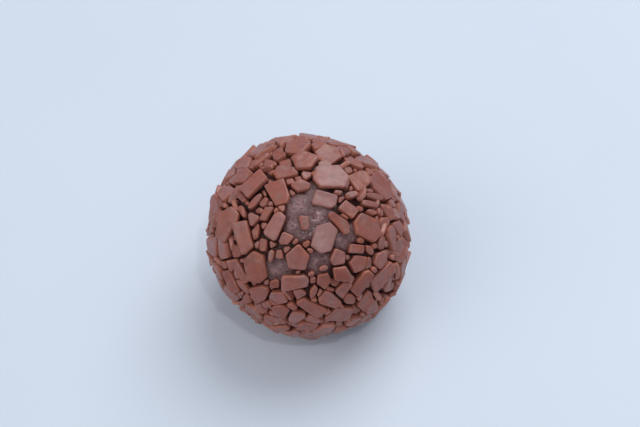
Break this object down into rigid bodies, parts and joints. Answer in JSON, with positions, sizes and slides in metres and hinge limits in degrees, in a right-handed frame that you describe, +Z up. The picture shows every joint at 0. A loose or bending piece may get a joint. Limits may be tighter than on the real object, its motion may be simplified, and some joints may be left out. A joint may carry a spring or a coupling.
{
  "type": "brigadeiro",
  "caption": "Hand-rolled cocoa fudge ball coated all over with flat milk chocolate flakes, resting on a small flat spot.",
  "frame": {"origin": "middle of the flat spot that the sweet rests on", "axes": "+Z up; -Y towards the side that shows"},
  "size_m": [0.0345, 0.035, 0.0307],
  "materials": {
    "chocolate_flakes": "satin milk chocolate, smooth faces with soft rounded edges",
    "cocoa_fudge": "moist, slightly grainy cooked cocoa fudge"
  },
  "bodies": {
    "root": {"brigadeiro": "chocolate_flakes"}
  },
  "joints": []
}
